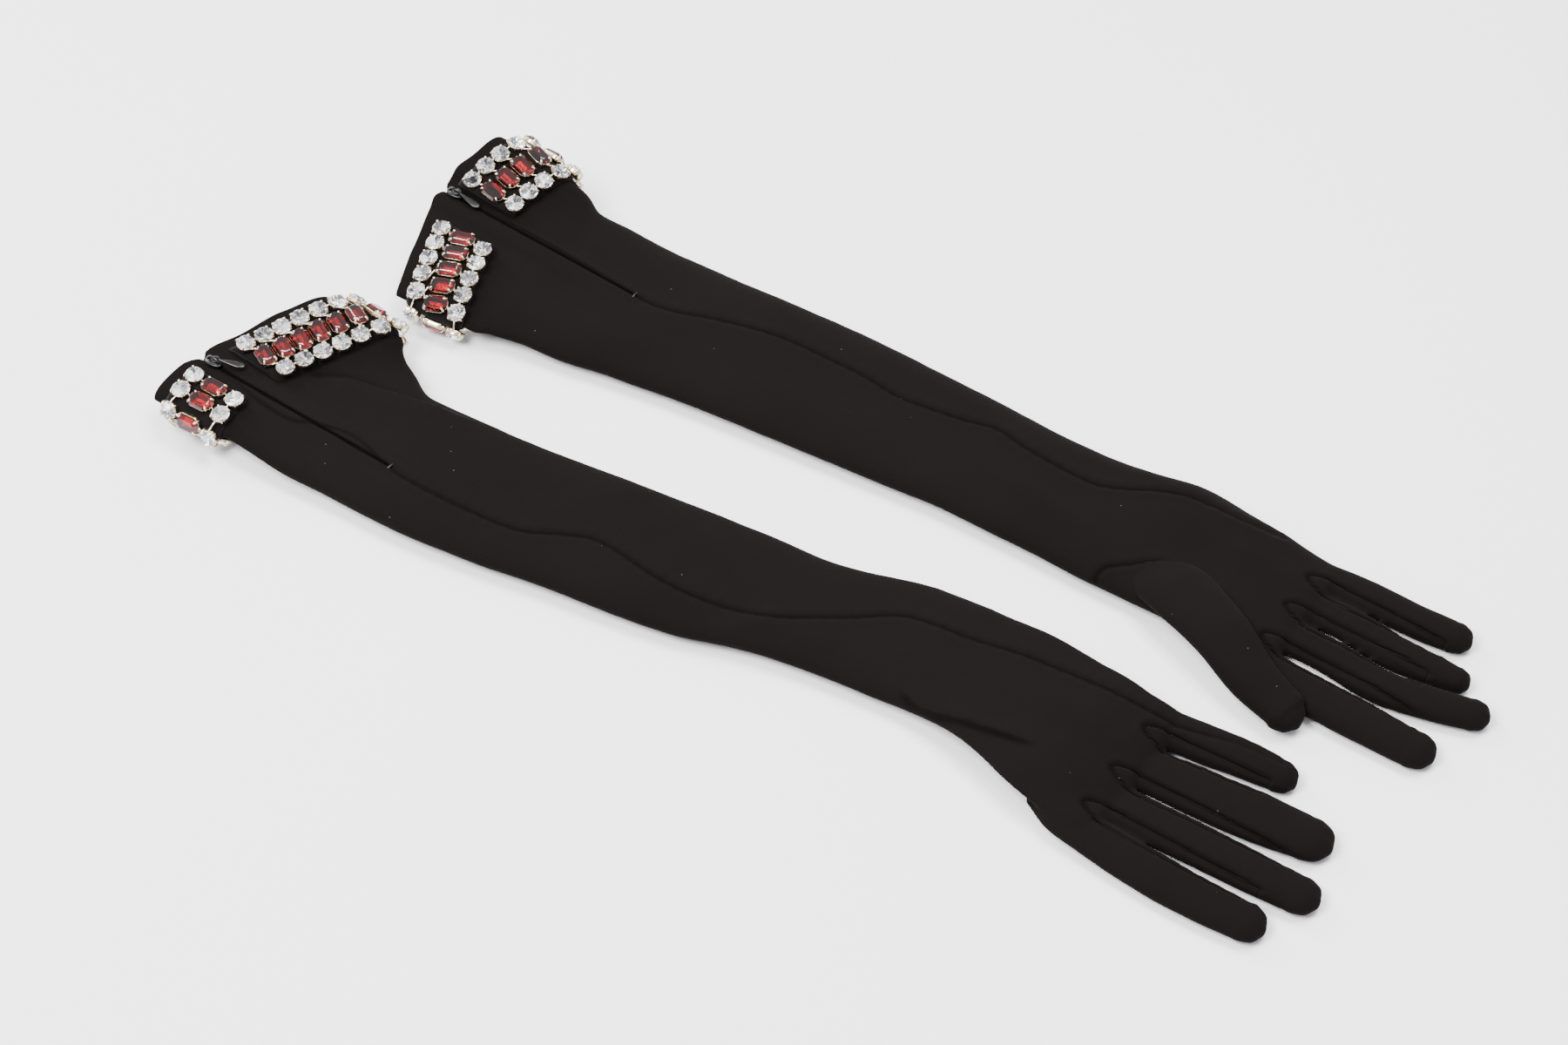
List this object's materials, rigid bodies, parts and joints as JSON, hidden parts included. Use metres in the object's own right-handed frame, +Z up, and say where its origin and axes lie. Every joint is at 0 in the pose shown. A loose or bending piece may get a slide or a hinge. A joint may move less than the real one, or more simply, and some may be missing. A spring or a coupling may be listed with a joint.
{
  "type": "opera gloves",
  "caption": "Pair of long stretch jersey evening gloves lying flat, with a raised jewelled band at each cuff and an invisible zip along the outer seam.",
  "frame": {"origin": "middle of the pair's footprint, on the surface the gloves lie on", "axes": "+X from the cuffs towards the fingertips, +Y from the left glove to the right glove, +Z up"},
  "size_m": [0.536, 0.2152, 0.0391],
  "materials": {
    "jersey": "matte black stretch jersey",
    "band_backing": "black backing strip",
    "red_crystal": "polished cut red glass",
    "clear_crystal": "polished cut clear glass",
    "setting_metal": "pale gold plated claw setting",
    "zip_tape": "black woven tape and coil",
    "black_lacquered_metal": "gloss black lacquer"
  },
  "bodies": {
    "left_glove": {"left_trank": "jersey", "left_thumb": "jersey", "left_fourchette_index_middle": "jersey", "left_fourchette_middle_ring": "jersey", "left_fourchette_ring_little": "jersey", "left_jewel_band": "band_backing", "left_red_stone_01": "red_crystal", "left_red_stone_02": "red_crystal", "left_red_stone_03": "red_crystal", "left_red_stone_04": "red_crystal", "left_red_stone_05": "red_crystal", "left_red_stone_06": "red_crystal", "left_red_stone_07": "red_crystal", "left_red_stone_08": "red_crystal", "left_red_stone_09": "red_crystal", "left_red_stone_10": "red_crystal", "left_red_stones_under": "red_crystal", "left_crystals_outer_front": "clear_crystal", "left_crystals_outer_under": "clear_crystal", "left_crystals_outer_back": "clear_crystal", "left_crystals_inner_front": "clear_crystal", "left_crystals_inner_under": "clear_crystal", "left_crystals_inner_back": "clear_crystal", "left_zip_tape_front": "zip_tape", "left_zip_tape_back": "zip_tape", "left_zip_bottom_stop": "black_lacquered_metal"},
    "left_zip_slider": {"left_zip_slider": "black_lacquered_metal"},
    "left_zip_puller": {"left_zip_puller": "black_lacquered_metal"},
    "right_glove": {"right_trank": "jersey", "right_thumb": "jersey", "right_fourchette_index_middle": "jersey", "right_fourchette_middle_ring": "jersey", "right_fourchette_ring_little": "jersey", "right_jewel_band": "band_backing", "right_red_stone_01": "red_crystal", "right_red_stone_02": "red_crystal", "right_red_stone_03": "red_crystal", "right_red_stone_04": "red_crystal", "right_red_stone_05": "red_crystal", "right_red_stone_06": "red_crystal", "right_red_stone_07": "red_crystal", "right_red_stone_08": "red_crystal", "right_red_stone_09": "red_crystal", "right_red_stone_10": "red_crystal", "right_red_stones_under": "red_crystal", "right_crystals_outer_front": "clear_crystal", "right_crystals_outer_under": "clear_crystal", "right_crystals_outer_back": "clear_crystal", "right_crystals_inner_front": "clear_crystal", "right_crystals_inner_under": "clear_crystal", "right_crystals_inner_back": "clear_crystal", "right_zip_tape_front": "zip_tape", "right_zip_tape_back": "zip_tape", "right_zip_bottom_stop": "black_lacquered_metal"},
    "right_zip_slider": {"right_zip_slider": "black_lacquered_metal"},
    "right_zip_puller": {"right_zip_puller": "black_lacquered_metal"}
  },
  "joints": [
    {"name": "right_glove_lift", "type": "slide", "parent": "left_glove", "child": "right_glove", "axis": [0, 0, 1], "range_m": [0, 0.25]},
    {"name": "left_zip_slide", "type": "slide", "parent": "left_glove", "child": "left_zip_slider", "axis": [0.9985, -0.0449, -0.03], "range_m": [0, 0.088]},
    {"name": "left_puller_swing", "type": "hinge", "parent": "left_zip_slider", "child": "left_zip_puller", "pos_m": [-0.25703, -0.07418, 0.02056], "axis": [0.3973, -0.9176, -0.0131], "range_deg": [0, 150]},
    {"name": "right_zip_slide", "type": "slide", "parent": "right_glove", "child": "right_zip_slider", "axis": [0.9956, -0.008, -0.0936], "range_m": [0, 0.088]},
    {"name": "right_puller_swing", "type": "hinge", "parent": "right_zip_slider", "child": "right_zip_puller", "pos_m": [-0.23483, 0.062, 0.02743], "axis": [-0.0601, -0.9982, 0.0049], "range_deg": [0, 150]}
  ]
}
